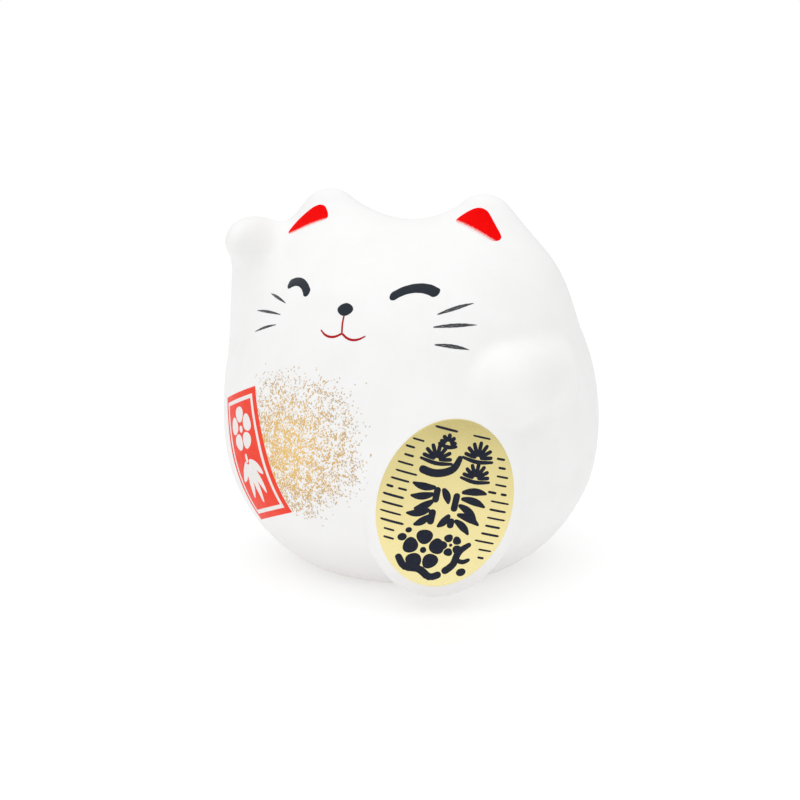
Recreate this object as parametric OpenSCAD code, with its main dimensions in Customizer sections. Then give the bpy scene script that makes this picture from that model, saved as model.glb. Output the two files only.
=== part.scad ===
// Beckoning cat figurine: a round, hollow, slip-cast earthenware cat with its
// right paw raised and its left arm resting on a large oval coin (koban).
// Millimetres. +Z is up, the cat faces -Y, and +X is the cat's own left.
// The origin is the centre of the foot, on the surface that the cat stands on.

/* [Body] */
// Half width of the egg-shaped body
body_half_w = 45.3; // [44:0.1:46]
// Half depth of the egg-shaped body
body_half_d = 43.5; // [43:0.1:45]
// Height of the widest level above the table
waist_z = 34.5; // [33.5:0.1:35.5]
// From the widest level up to the crown of the head
crown_rise = 46.8; // [45.5:0.1:47.5]
// From the widest level down to the underside, before the foot is cut flat
belly_drop = 39.8; // [39.3:0.1:41]
// Fullness of the upper body seen from the front, 2 is an ellipse
crown_fullness = 2.12; // [2:0.01:2.3]
// Fullness of the upper body seen from the side, which rounds the face and nape
face_fullness = 2.5; // [2.3:0.05:2.6]
// Fullness of the lower body, 2 is an ellipse
belly_fullness = 2.15; // [2.05:0.01:2.3]

/* [Ears] */
// Distance of each ear tip from the middle of the head
ear_tip_x = 19.4; // [18.5:0.1:20.5]
// Height of the ball that rounds each ear tip
ear_tip_z = 82; // [81:0.1:83]
// Radius of each ear tip
ear_tip_r = 7.7; // [7:0.1:8.2]
// Distance of each ear root from the middle of the head
ear_root_x = 17.8; // [17:0.1:18.6]
// Height of the ball at each ear root
ear_root_z = 63.4; // [62:0.1:64.5]
// Radius of each ear root
ear_root_r = 21; // [20:0.1:22]
// Place of both ears, negative is towards the face
ear_y = -3; // [-4:0.1:-2]
// How many times wider than deep each ear is
ear_flatness = 1.35; // [1.2:0.05:1.4]

/* [Raised right arm] */
// Height of the raised paw's middle
paw_z = 77.7; // [76.5:0.1:79]
// Half width of the raised paw
paw_half_w = 4.6; // [4:0.1:6]
// Half depth of the raised paw
paw_half_d = 8.8; // [7.6:0.1:9.4]
// Half height of the raised paw
paw_half_h = 5.4; // [4.4:0.1:6]

/* [Lowered left arm] */
// Radius of the left paw
left_paw_r = 8.6; // [7.6:0.1:9.2]
// Radius of the left arm where it leaves the shoulder
left_arm_r = 8.6; // [7.6:0.1:9.2]

/* [Koban] */
// Direction that the coin faces, degrees from the front to the cat's left
koban_turn = 33; // [30:1:36]
// Height of the coin's middle
koban_z = 24.9; // [24:0.1:25.5]
// Lean of the coin's long axis to the cat's left, degrees
koban_lean = 14; // [10:1:18]
// Half length of the clay boss under the coin label
boss_half_l = 21.5; // [21:0.1:22.4]
// Half width of the clay boss under the coin label
boss_half_w = 17.4; // [17:0.1:18]
// Distance of the boss's face from the body's axis
boss_reach = 46.3; // [45.6:0.1:46.8]
// Half length of the gold label
label_half_l = 18.9; // [18:0.1:19]
// Half width of the gold label
label_half_w = 14.9; // [14:0.1:15]
// Height of the label's middle
label_z = 26; // [25.6:0.1:26.4]
// Sideways place of the label's middle on the boss
label_shift = -0.6; // [-1:0.1:0]

/* [Fortune tag] */
// Width of the red tag
tag_w = 17.4; // [16:0.1:18]
// Length of the red tag
tag_l = 29.4; // [28:0.1:30]
// Direction that the tag faces, degrees
tag_turn = -36.2; // [-40:0.2:-34]
// Height of the tag's middle
tag_z = 31; // [30:0.5:32]
// Lean of the tag's top towards the cat's right, degrees
tag_lean = 20; // [16:1:24]

/* [Foot and plug] */
// Thickness of the clay wall around the hollow
wall = 3.8; // [3.5:0.1:4.5]
// Height of the hollow's flat floor
floor_z = 6.5; // [6:0.1:7]
// Radius of the shallow hollow pressed into the foot
foot_hollow_r = 15.5; // [15:0.1:16]
// Depth of that hollow
foot_hollow_h = 1; // [0.8:0.1:1.2]
// Radius of the pour hole through the foot
hole_r = 7; // [6.5:0.1:7.5]
// Radius of the counterbore that takes the plug's flange
seat_r = 9.4; // [9.2:0.1:10]
// Height of the counterbore's roof above the table
seat_h = 2.8; // [2.6:0.1:3]

/* [Hidden] */

// Softness of the blends between the masses of clay
ear_blend = 8;
arm_blend = 8;
paw_blend = 4;
left_arm_blend = 2.6;
boss_blend = 3;
foot_blend = 3;
// The clay runs on this far below the table before the foot is cut flat
foot_trim = 0.6;
// Right arm, shoulder to wrist, and the paw that bends forward at its top
shoulder = [-30.4, -8, 40];
shoulder_r = 9.5;
wrist = [-35.4, -10, 73.8];
wrist_r = 6.1;
paw = [-35.8, -13.4, paw_z];
// Left arm, from the cat's side round to the paw at the coin's upper edge
left_elbow = [36.4, -10.4, 50.6];
left_paw = [33.8, -25, 50];
// The boss is a thick oval pad, flat on its face and round at its rim
boss_half_t = 6.5;
boss_flatness = 3.5;
// Paint and print stand this far out of the clay and reach this far into it
proud = 0.2;
bite = 0.35;
// The painted face is turned a little towards the raised paw, degrees
face_turn = -1.4;
// The skin is a grid of this many columns and rows of points
skin_columns = 80;
skin_rows = 46;
// Rays that find the skin start this far out and run towards the middle
far = 72;
middle = [0, 0, 38];
march_steps = 22;
march_gain = 0.85;
$fn = 64;

white_clay = [0.95, 0.95, 0.94];
gold = [0.86, 0.77, 0.45];
ink = [0.1, 0.11, 0.17];
vermilion = [0.93, 0.2, 0.13];
ear_red = [0.87, 0.05, 0.04];
mouth_red = [0.7, 0.07, 0.09];
whisker_grey = [0.28, 0.28, 0.29];
vinyl = [0.85, 0.84, 0.8];

// ---------- directions ----------
// A level direction, turned from the front (-Y) towards the cat's left (+X)
function out_dir(turn) = [sin(turn), -cos(turn), 0];
function side_dir(turn) = [cos(turn), sin(turn), 0];
function spin2(p, a) = [p[0] * cos(a) - p[1] * sin(a), p[0] * sin(a) + p[1] * cos(a)];

// ---------- the clay as one smooth field: below zero is inside ----------
function smooth_min(a, b, k) = min(a, b) - pow(max(k - abs(a - b), 0), 2) / (4 * k);
function smooth_max(a, b, k) = -smooth_min(-a, -b, k);

// Width of a superellipse of fullness n at the level v, both from 0 to 1
function level_width(v, n) = pow(1 - pow(v, n), 1 / n);

// Near the crown, above this level, the side view keeps its ratio to the front view
crown_level = 0.97;
function egg(p) =
    let (rise = p[2] - waist_z,
         n = rise > 0 ? crown_fullness : belly_fullness,
         v = abs(rise) / (rise > 0 ? crown_rise : belly_drop),
         level = min(v, crown_level),
         slim = rise > 0 ? level_width(level, n) / level_width(level, face_fullness) : 1,
         h = norm([p[0] / body_half_w, slim * p[1] / body_half_d]))
    (pow(pow(h, n) + pow(v, n), 1 / n) - 1) * body_half_d;

// A ball at a and a ball at b, joined by the cone that touches both
function round_cone(p, a, b, ra, rb) =
    let (l = norm(b - a), u = (b - a) / l, s = (ra - rb) / l, q = p - a, y = q * u,
         x = norm(q - y * u), t = min(max(y - x * s / sqrt(1 - s * s), 0), l))
    norm([x, y - t]) - ra + s * t;

function ellipsoid(p, c, r) =
    let (q = p - c, g = [q[0] / r[0], q[1] / r[1], q[2] / r[2]],
         h = [g[0] / r[0], g[1] / r[1], g[2] / r[2]], k = norm(g))
    k * (k - 1) / max(norm(h), 0.000001);

function boss(p) =
    let (n = out_dir(koban_turn), s = side_dir(koban_turn),
         q = p - n * (boss_reach - boss_half_t) - [0, 0, koban_z],
         uv = spin2([q * s, q[2]], koban_lean),
         rim = norm([uv[0] / boss_half_w, uv[1] / boss_half_l]),
         t = abs(q * n) / boss_half_t)
    (pow(pow(rim, boss_flatness) + pow(t, boss_flatness), 1 / boss_flatness) - 1) * boss_half_t;

function ear(p, side) =
    let (q = [p[0], ear_y + (p[1] - ear_y) * ear_flatness, p[2]])
    round_cone(q, [side * ear_root_x, ear_y, ear_root_z], [side * ear_tip_x, ear_y, ear_tip_z],
               ear_root_r, ear_tip_r) / ear_flatness;

function clay(p) =
    let (head = smooth_min(smooth_min(egg(p), ear(p, -1), ear_blend), ear(p, 1), ear_blend),
         armed = smooth_min(head, round_cone(p, shoulder, wrist, shoulder_r, wrist_r), arm_blend),
         pawed = smooth_min(armed, ellipsoid(p, paw, [paw_half_w, paw_half_d, paw_half_h]),
                            paw_blend),
         both = smooth_min(pawed, round_cone(p, left_elbow, left_paw, left_arm_r, left_paw_r),
                           left_arm_blend),
         all = smooth_min(both, boss(p), boss_blend))
    smooth_max(all, -p[2] - foot_trim, foot_blend);

// Where a ray from o along d meets the clay
function meet(o, d, t, steps) =
    steps == 0 ? o + d * t : meet(o, d, t + march_gain * clay(o + d * t), steps - 1);

// ---------- paint and print laid on the clay ----------
// A flat design is pressed on along one direction. A chart is
// [centre, outward direction, rightward direction, upward direction].
function chart(centre, turn, tilt = 0, lean = 0) =
    let (n = cos(tilt) * out_dir(turn) + [0, 0, sin(tilt)], s = side_dir(turn), v = cross(s, -n))
    [centre, n, cos(lean) * s + sin(lean) * v, cos(lean) * v - sin(lean) * s];
function land(c, uv) = meet(c[0] + uv[0] * c[2] + uv[1] * c[3] + 30 * c[1], -c[1], 0, march_steps);

// A closed layer over rows of flat points. Every row has the same number of points.
module laid(c, rows, top = proud) {
    m = len(rows);
    k = len(rows[0]);
    skin = [for (row = rows) for (uv = row) land(c, uv)];
    points = concat([for (p = skin) p + top * c[1]], [for (p = skin) p - bite * c[1]]);
    s = m * k;
    rim = concat([for (j = [0 : k - 1]) j], [for (i = [1 : m - 1]) i * k + k - 1],
                 [for (j = [k - 2 : -1 : 0]) (m - 1) * k + j], [for (i = [m - 2 : -1 : 1]) i * k]);
    faces = concat(
        [for (i = [0 : m - 2]) for (j = [0 : k - 2]) for (half = [0, 1])
            let (a = i * k + j) half == 0 ? [a, a + 1, a + k + 1] : [a, a + k + 1, a + k]],
        [for (i = [0 : m - 2]) for (j = [0 : k - 2]) for (half = [0, 1])
            let (a = s + i * k + j) half == 0 ? [a, a + k + 1, a + 1] : [a, a + k, a + k + 1]],
        [for (i = [0 : len(rim) - 1]) for (half = [0, 1])
            let (a = rim[i], b = rim[(i + 1) % len(rim)])
            half == 0 ? [a, s + a, b] : [b, s + a, s + b]]);
    polyhedron(points, faces);
}

// A closed layer inside a flat outline, as rings around the outline's middle
module laid_disc(c, outline, rings = 1, top = proud) {
    n = len(outline);
    mid = [for (k = [0, 1]) [for (p = outline) p[k]] * [for (p = outline) 1] / n];
    flat = concat([mid], [for (i = [1 : rings]) for (p = outline) mid + (p - mid) * i / rings]);
    skin = [for (uv = flat) land(c, uv)];
    points = concat([for (p = skin) p + top * c[1]], [for (p = skin) p - bite * c[1]]);
    s = len(skin);
    faces = concat(
        [for (j = [0 : n - 1]) let (a = 1 + j, b = 1 + (j + 1) % n) each [[0, b, a], [s, s + a, s + b]]],
        [for (i = [1 : 1 : rings - 1]) for (j = [0 : n - 1])
            let (a = 1 + (i - 1) * n + j, b = 1 + (i - 1) * n + (j + 1) % n)
            each [[a, b, b + n], [a, b + n, a + n],
                  [s + a, s + b + n, s + b], [s + a, s + a + n, s + b + n]]],
        [for (j = [0 : n - 1])
            let (a = 1 + (rings - 1) * n + j, b = 1 + (rings - 1) * n + (j + 1) % n)
            each [[a, b, s + a], [b, s + b, s + a]]]);
    polyhedron(points, faces);
}

// A closed layer between two flat outlines that have the same number of points
module laid_ring(c, inner, outer, top = proud) {
    n = len(inner);
    skin = [for (uv = concat(inner, outer)) land(c, uv)];
    points = concat([for (p = skin) p + top * c[1]], [for (p = skin) p - bite * c[1]]);
    s = 2 * n;
    faces = [for (i = [0 : n - 1]) let (a = i, b = (i + 1) % n)
        each [[a, b, b + n], [a, b + n, a + n], [s + a, s + b + n, s + b], [s + a, s + a + n, s + b + n],
              [a + n, b + n, s + a + n], [b + n, s + b + n, s + a + n], [a, s + a, b], [b, s + a, s + b]]];
    polyhedron(points, faces);
}

// One brush stroke from a to b: it bows sideways by bow, is w wide at its
// fullest and narrows to its two ends
module stroke(c, a, b, w, bow = 0, ends = [0.3, 0.3], fullest = 0.5, steps = 6, top = proud) {
    across = [-(b - a)[1], (b - a)[0]] / norm(b - a);
    laid(c, [for (i = [0 : steps])
        let (t = i / steps,
             thin = t < fullest ? ends[0] : ends[1],
             from_full = t < fullest ? 1 - t / fullest : (t - fullest) / (1 - fullest),
             half = w / 2 * (thin + (1 - thin) * sqrt(max(1 - from_full * from_full, 0))),
             p = a + (b - a) * t + across * bow * 4 * t * (1 - t))
        [p - across * half, p + across * half]], top);
}

// A rectangle of half width w and half height h, with n steps along each side
function box_outline(w, h, n) =
    let (corner = [[-w, -h], [w, -h], [w, h], [-w, h]])
    [for (i = [0 : 3]) for (k = [0 : n - 1])
        corner[i] + (corner[(i + 1) % 4] - corner[i]) * k / n];

function oval(c, rx, ry, n, spin = 0) =
    [for (i = [0 : n - 1]) c + spin2([rx * cos(360 * i / n), ry * sin(360 * i / n)], spin)];

// ---------- motifs that stand on the coin and on the tag ----------
// Five round petals around an eye
module blossom(c, at, r, top = proud) {
    for (i = [0 : 4])
        laid_disc(c, oval(at + spin2([0, 0.6 * r], 72 * i), 0.3 * r, 0.36 * r, 10, 72 * i), top = top);
    laid_disc(c, oval(at, 0.15 * r, 0.15 * r, 8), top = top);
}

// A spray of narrow leaves from one point
module leaf_spray(c, at, r, angles, w, top = proud) {
    for (a = angles)
        stroke(c, at + spin2([0, 0.12 * r], a), at + spin2([0, r], a), w, 0.05 * r,
               [0.15, 0.1], 0.4, 5, top);
}

// A pine bough: a fan of needles over a short stem
module pine_bough(c, at, r, top = proud) {
    for (a = [-75 : 25 : 75])
        stroke(c, at + spin2([0, 0.2 * r], a), at + spin2([0, r], a), 0.17 * r, 0, [0.5, 0.4],
               0.5, 3, top);
    stroke(c, at + [-0.8 * r, -0.12 * r], at + [0.8 * r, -0.12 * r], 0.22 * r, 0.1 * r,
           [0.4, 0.4], 0.5, 4, top);
}

// ---------- charts ----------
face = chart([0, 0, 0], face_turn);
ear_front = chart([0, -9, 83], face_turn, 40);
coin = chart([label_shift * cos(koban_turn), label_shift * sin(koban_turn), label_z], koban_turn, 0,
             -koban_lean);
tag = chart([0, 0, tag_z], tag_turn, 0, tag_lean);

// ---------- sub-parts ----------
// Radius of the hollow at height z
function hollow_r(z) =
    let (rise = z - waist_z, up = crown_rise - wall, down = belly_drop - wall,
         n = rise > 0 ? crown_fullness : belly_fullness, v = abs(rise) / (rise > 0 ? up : down))
    (body_half_d - wall) * pow(max(1 - pow(v, n), 0), 1 / n);

module body() color(white_clay) {
    pole_gap = 180 / skin_rows;
    ring = [for (i = [1 : skin_rows - 1]) for (j = [0 : skin_columns - 1])
        let (down = i * pole_gap, round = 360 * j / skin_columns,
             d = [sin(down) * sin(round), -sin(down) * cos(round), cos(down)])
        meet(middle + far * d, -d, 0, march_steps)];
    points = concat([meet(middle + [0, 0, far], [0, 0, -1], 0, march_steps)], ring,
                    [meet(middle - [0, 0, far], [0, 0, 1], 0, march_steps)]);
    last = len(points) - 1;
    faces = concat(
        [for (j = [0 : skin_columns - 1]) let (b = (j + 1) % skin_columns) [0, 1 + b, 1 + j]],
        [for (i = [0 : skin_rows - 3]) for (j = [0 : skin_columns - 1])
            let (a = 1 + i * skin_columns + j, b = 1 + i * skin_columns + (j + 1) % skin_columns)
            each [[a, b, b + skin_columns], [a, b + skin_columns, a + skin_columns]]],
        [for (j = [0 : skin_columns - 1])
            let (a = last - skin_columns + j, b = last - skin_columns + (j + 1) % skin_columns)
            [a, b, last]]);
    hollow_top = waist_z + crown_rise - wall;
    levels = 18;
    difference() {
        polyhedron(points, faces);
        // the foot, cut flat
        translate([-far, -far, -20]) cube([2 * far, 2 * far, 20]);
        // the hollow that the poured-out slip leaves
        rotate_extrude() polygon(concat([[0, floor_z]],
            [for (i = [0 : levels - 1]) let (z = floor_z + (hollow_top - floor_z) * sin(90 * i / levels))
                [hollow_r(z), z]], [[0, hollow_top]]));
        translate([0, 0, -1]) cylinder(r = foot_hollow_r, h = 1 + foot_hollow_h);
        translate([0, 0, -1]) cylinder(r = seat_r, h = 1 + seat_h);
        translate([0, 0, -1]) cylinder(r = hole_r, h = 2 + floor_z);
    }
}

// The soft plug that closes the pour hole, with a bar to pull it by
module base_stopper() color(vinyl) {
    play = 0.05;
    flange_low = 1.2;
    flange_high = seat_h - play;
    stem_r = hole_r - play;
    stem_top = floor_z + 2.5;
    well_r = 4.6;
    well_top = 6;
    bar_w = 1.8;
    difference() {
        rotate_extrude() polygon([[0, flange_low], [seat_r - 0.7, flange_low],
            [seat_r - 0.4, flange_low + 0.3], [seat_r - 0.4, flange_high], [stem_r, flange_high],
            [stem_r, stem_top - 1.8], [stem_r - 1, stem_top], [0, stem_top]]);
        difference() {
            cylinder(r = well_r, h = well_top);
            translate([-well_r - 1, -bar_w / 2, flange_low])
                cube([2 * well_r + 2, bar_w, bar_w]);
        }
    }
}

module koban_label() color(gold)
    laid_disc(coin, oval([0, 0], label_half_w, label_half_l, 56), 5);

// Short printed dashes, in rows down both sides of the coin
module koban_hatching() color(ink) {
    rows = 17;
    pitch = 1.95;
    dash_w = 0.42;
    clear_of_rim = 0.9;
    beside_emblem = 8.2;
    above_emblem = 1.2;
    emblem_half_l = 14.5;
    for (i = [0 : rows - 1]) {
        v = (i - (rows - 1) / 2) * pitch;
        rim = (label_half_w - clear_of_rim) * sqrt(1 - pow(v / label_half_l, 2));
        inner = abs(v) > emblem_half_l ? above_emblem : beside_emblem;
        if (rim > inner)
            for (side = [-1, 1])
                stroke(coin, [side * inner, v], [side * rim, v], dash_w, 0, [0.7, 0.7], 0.5, 3,
                       2 * proud);
    }
}

// Pine, bamboo and plum, the three friends of winter, down the coin's middle
module koban_emblem() color(ink) {
    pine_bough(coin, [0, 7], 6.8, 2 * proud);
    leaf_spray(coin, [0, 3.4], 7.2, [90, 125, 160, 200, 235, 270], 2.4, 2 * proud);
    blossom(coin, [0, -9.4], 6, 2 * proud);
}

module fortune_tag() color(vermilion)
    laid(tag, [for (j = [0 : 8]) [for (i = [0 : 5])
        [(i / 5 - 0.5) * tag_w, (j / 8 - 0.5) * tag_l]]]);

// A printed line just inside the tag's edge
module tag_frame() color(white_clay) {
    margin = 1.4;
    line = 0.9;
    w = tag_w / 2 - margin;
    h = tag_l / 2 - margin;
    laid_ring(tag, box_outline(w - line, h - line, 8), box_outline(w, h, 8), 2 * proud);
}

// A plum blossom over a spray of leaves
module tag_emblem() color(white_clay) {
    blossom(tag, [0, 5.6], 5.4, 2 * proud);
    leaf_spray(tag, [0, -0.6], 10, [150, 180, 210], 2.4, 2 * proud);
}

module right_ear_enamel() color(ear_red)
    laid_disc(ear_front, [[-25.4, -5.4], [-23.6, -4.7], [-20.9, -3.7], [-18.3, -2.4], [-16.9, -1.2],
        [-16.9, 0], [-17.8, 1.6], [-18.7, 2.5], [-20, 2.7], [-21.6, 2], [-23.3, 0.6], [-25.1, -1.4],
        [-26, -3.7], [-26.1, -5]], 3);

module left_ear_enamel() color(ear_red)
    laid_disc(ear_front, [[15.9, -0.3], [19, -1.8], [21.9, -3], [23.8, -3.6], [25.3, -3.5],
        [26.1, -2.8], [26, -1.6], [24.2, 0.8], [22.5, 3], [21.5, 3.9], [20, 4.3], [18.4, 3.9],
        [16.5, 2.6], [15.1, 0.8]], 3);

module right_eye_line() color(ink)
    stroke(face, [-18.8, 69.7], [-10.9, 68.6], 1.8, 1.6, [0.5, 0.35], 0.45, 12);

module left_eye_line() color(ink)
    stroke(face, [9.9, 69.2], [18.4, 69.9], 1.8, 1.6, [0.35, 0.5], 0.65, 12);

module nose_spot() color(ink)
    laid_disc(face, [[0.25, 65.2], [0.8, 65.5], [1.7, 66.2], [2.1, 66.9], [1.6, 67.5],
        [0.25, 67.8], [-1.1, 67.5], [-1.6, 66.9], [-1.2, 66.2], [-0.3, 65.5]], 2);

module mouth_line() color(mouth_red) {
    parting = [0.8, 61.7];
    below_nose = [0.35, 65.1];
    stroke(face, below_nose, parting + [0, -0.1], 0.45, -0.1, [0.8, 0.8], 0.5, 4);
    stroke(face, [-4.6, 62], parting, 0.5, -1, [0.4, 0.8], 0.5, 8);
    stroke(face, parting, [6.3, 61.4], 0.5, -1, [0.8, 0.4], 0.5, 8);
}

module right_whiskers() color(whisker_grey) {
    stroke(face, [-24.1, 67], [-16.9, 66.2], 0.5, 0.2, [0.3, 0.6], 0.6, 6);
    stroke(face, [-27.5, 62.9], [-17.4, 63.8], 0.5, 0.25, [0.3, 0.6], 0.6, 7);
    stroke(face, [-25.2, 58.9], [-18, 61.6], 0.5, 0.2, [0.3, 0.6], 0.6, 6);
}

module left_whiskers() color(whisker_grey) {
    stroke(face, [19.6, 65.9], [25.3, 67.7], 0.6, 0.15, [0.6, 0.3], 0.4, 5);
    stroke(face, [19.5, 63.4], [27.1, 63.4], 0.65, 0.2, [0.6, 0.3], 0.4, 6);
    stroke(face, [20.5, 59.9], [26.9, 58.6], 0.65, 0.2, [0.6, 0.3], 0.4, 5);
}

body();
base_stopper();
koban_label();
koban_hatching();
koban_emblem();
fortune_tag();
tag_frame();
tag_emblem();
right_ear_enamel();
left_ear_enamel();
right_eye_line();
left_eye_line();
nose_spot();
mouth_line();
right_whiskers();
left_whiskers();
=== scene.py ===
"""Looks of the beckoning cat figurine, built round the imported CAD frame.

Shapes are worked out in millimetres from the same named dimensions as the CAD part, and
to_frame() carries them into the frame so that the cat's skin fills the CAD body's own box.
"""

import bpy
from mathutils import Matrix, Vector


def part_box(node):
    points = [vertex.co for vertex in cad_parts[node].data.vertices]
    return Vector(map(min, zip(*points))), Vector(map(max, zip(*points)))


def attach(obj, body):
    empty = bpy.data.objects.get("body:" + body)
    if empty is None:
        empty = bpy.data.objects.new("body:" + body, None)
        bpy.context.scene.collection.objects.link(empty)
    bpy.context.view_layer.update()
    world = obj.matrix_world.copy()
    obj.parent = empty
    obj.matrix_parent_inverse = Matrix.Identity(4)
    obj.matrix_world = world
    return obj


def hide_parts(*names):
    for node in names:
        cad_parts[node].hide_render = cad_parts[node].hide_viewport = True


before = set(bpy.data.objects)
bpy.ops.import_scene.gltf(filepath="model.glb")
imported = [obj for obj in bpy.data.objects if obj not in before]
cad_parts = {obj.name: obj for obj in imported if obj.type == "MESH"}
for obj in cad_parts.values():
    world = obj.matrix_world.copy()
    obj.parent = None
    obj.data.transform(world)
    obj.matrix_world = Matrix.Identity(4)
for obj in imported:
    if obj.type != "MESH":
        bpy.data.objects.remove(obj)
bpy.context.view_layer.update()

import math

import bpy
import numpy as np
from mathutils import Vector

# ---------------------------------------------------------------- dimensions, mm and degrees
# body
BODY_HALF_W = 45.3
BODY_HALF_D = 43.5
WAIST_Z = 34.5
CROWN_RISE = 46.8
BELLY_DROP = 39.8
CROWN_FULLNESS = 2.12
FACE_FULLNESS = 2.5
BELLY_FULLNESS = 2.15
CROWN_LEVEL = 0.97
# ears
EAR_TIP = (19.4, -3.0, 82.0)
EAR_TIP_R = 7.7
EAR_ROOT = (17.8, -3.0, 63.4)
EAR_ROOT_R = 21.0
EAR_FLATNESS = 1.35
EAR_BLEND = 8.0
# raised right arm
SHOULDER = (-30.4, -8.0, 40.0)
SHOULDER_R = 9.5
WRIST = (-35.4, -10.0, 73.8)
WRIST_R = 6.1
PAW = (-35.8, -13.4, 77.7)
PAW_HALF = (4.6, 8.8, 5.4)
ARM_BLEND = 8.0
PAW_BLEND = 4.0
# lowered left arm
LEFT_ELBOW = (36.4, -10.4, 50.6)
LEFT_ARM_R = 8.6
LEFT_PAW = (33.8, -25.0, 50.0)
LEFT_PAW_R = 8.6
LEFT_ARM_BLEND = 2.6
# the clay boss under the coin
KOBAN_TURN = 33.0
KOBAN_Z = 24.9
KOBAN_LEAN = 14.0
BOSS_HALF_L = 21.5
BOSS_HALF_W = 17.4
BOSS_HALF_T = 6.5
BOSS_REACH = 46.3
BOSS_FLATNESS = 3.5
BOSS_BLEND = 3.0
# coin label and tag
LABEL_HALF_L = 18.9
LABEL_HALF_W = 14.9
LABEL_Z = 26.0
LABEL_SHIFT = -0.6
TAG_W = 17.4
TAG_L = 29.4
TAG_TURN = -36.2
TAG_Z = 31.0
TAG_LEAN = 20.0
# foot, hollow and plug
FOOT_BLEND = 2.2
WALL = 3.8
FLOOR_Z = 6.5
FOOT_HOLLOW_R = 15.5
FOOT_HOLLOW_H = 1.0
HOLE_R = 7.0
SEAT_R = 9.4
SEAT_H = 2.8
# the painted face is turned a little towards the raised paw
FACE_TURN = -1.4

# rays start this far out and step in by this share of the field
START_OUT = 30.0
MARCH_STEPS = 48
MARCH_GAIN = 0.85
# the grid that the skin is drawn on: its cell and corners, and how often the skin is evened out
SKIN_CELL = 0.8
GRID_LOW = (-50.2, -50.2)
GRID_HIGH = (50.0, 50.0, 94.0)
EVEN_ROUNDS = 6
# paint starts this far inside the clay, and a print this far above it, within the film under it
SUNK = -0.15
PRINT_LOW = 0.02
# the flecks of gold spatter: how many, and the round that they fill
FLECKS = 4500
SPATTER_Z = 36.7
SPATTER_TURN = -12.5
SPATTER_R = 15.2
# metres in a millimetre
MM = 0.001
# the camera: degrees round from the front and up, distance and aim in metres, lens in millimetres
VIEW_TURN = 23.0
VIEW_RISE = 12.5
VIEW_DISTANCE = 0.39
VIEW_AIM_Z = 0.041
VIEW_LEFT = 0.0026
VIEW_DOWN = 0.0019
VIEW_LENS = 72.8
# strengths of the room's even light and of the floor's own glow
ROOM_LIGHT = 0.62
FLOOR_GLOW = 0.44


# ---------------------------------------------------------------- the clay as a smooth field
def smooth_min(a, b, k):
    return np.minimum(a, b) - np.maximum(k - np.abs(a - b), 0.0) ** 2 / (4.0 * k)


def smooth_max(a, b, k):
    return -smooth_min(-a, -b, k)


def egg(p):
    rise = p[:, 2] - WAIST_Z
    above = rise > 0
    n = np.where(above, CROWN_FULLNESS, BELLY_FULLNESS)
    v = np.abs(rise) / np.where(above, CROWN_RISE, BELLY_DROP)
    level = np.minimum(v, CROWN_LEVEL)
    front = (1 - level**CROWN_FULLNESS) ** (1 / CROWN_FULLNESS)
    side = (1 - level**FACE_FULLNESS) ** (1 / FACE_FULLNESS)
    slim = np.where(above, front / side, 1.0)
    h = np.hypot(p[:, 0] / BODY_HALF_W, slim * p[:, 1] / BODY_HALF_D)
    return ((h**n + v**n) ** (1 / n) - 1) * BODY_HALF_D


def round_cone(p, a, b, ra, rb):
    a, b = np.array(a), np.array(b)
    length = np.linalg.norm(b - a)
    u = (b - a) / length
    s = (ra - rb) / length
    q = p - a
    y = q @ u
    x = np.linalg.norm(q - y[:, None] * u, axis=1)
    t = np.clip(y - x * s / math.sqrt(1 - s * s), 0, length)
    return np.hypot(x, y - t) - ra + s * t


def ellipsoid(p, c, r):
    q = (p - np.array(c)) / np.array(r)
    k = np.linalg.norm(q, axis=1)
    return k * (k - 1) / np.maximum(np.linalg.norm(q / np.array(r), axis=1), 1e-6)


def out_dir(turn):
    a = math.radians(turn)
    return np.array([math.sin(a), -math.cos(a), 0.0])


def side_dir(turn):
    a = math.radians(turn)
    return np.array([math.cos(a), math.sin(a), 0.0])


def boss(p):
    n, s = out_dir(KOBAN_TURN), side_dir(KOBAN_TURN)
    q = p - n * (BOSS_REACH - BOSS_HALF_T) - np.array([0, 0, KOBAN_Z])
    lean = math.radians(KOBAN_LEAN)
    across, up = q @ s, q[:, 2]
    u = across * math.cos(lean) - up * math.sin(lean)
    v = across * math.sin(lean) + up * math.cos(lean)
    rim = np.hypot(u / BOSS_HALF_W, v / BOSS_HALF_L)
    t = np.abs(q @ n) / BOSS_HALF_T
    f = BOSS_FLATNESS
    return ((rim**f + t**f) ** (1 / f) - 1) * BOSS_HALF_T


def ear(p, side):
    q = p.copy()
    q[:, 1] = EAR_TIP[1] + (p[:, 1] - EAR_TIP[1]) * EAR_FLATNESS
    mirror = np.array([side, 1, 1])
    return round_cone(q, EAR_ROOT * mirror, EAR_TIP * mirror, EAR_ROOT_R, EAR_TIP_R) / EAR_FLATNESS


def clay(p):
    f = egg(p)
    for side in (-1, 1):
        f = smooth_min(f, ear(p, side), EAR_BLEND)
    f = smooth_min(f, round_cone(p, SHOULDER, WRIST, SHOULDER_R, WRIST_R), ARM_BLEND)
    f = smooth_min(f, ellipsoid(p, PAW, PAW_HALF), PAW_BLEND)
    f = smooth_min(f, round_cone(p, LEFT_ELBOW, LEFT_PAW, LEFT_ARM_R, LEFT_PAW_R), LEFT_ARM_BLEND)
    f = smooth_min(f, boss(p), BOSS_BLEND)
    return smooth_max(f, -p[:, 2], FOOT_BLEND)


def meet(origins, directions):
    """Where rays from outside first meet the clay."""
    t = np.zeros(len(origins))
    for _ in range(MARCH_STEPS):
        t += MARCH_GAIN * clay(origins + directions * t[:, None])
    return origins + directions * t[:, None]


def slope(p):
    """Gradient of the field."""
    step = 0.05
    rises = [clay(p + step * e) - clay(p - step * e) for e in np.eye(3)]
    return np.stack(rises, axis=1) / (2 * step)


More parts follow.
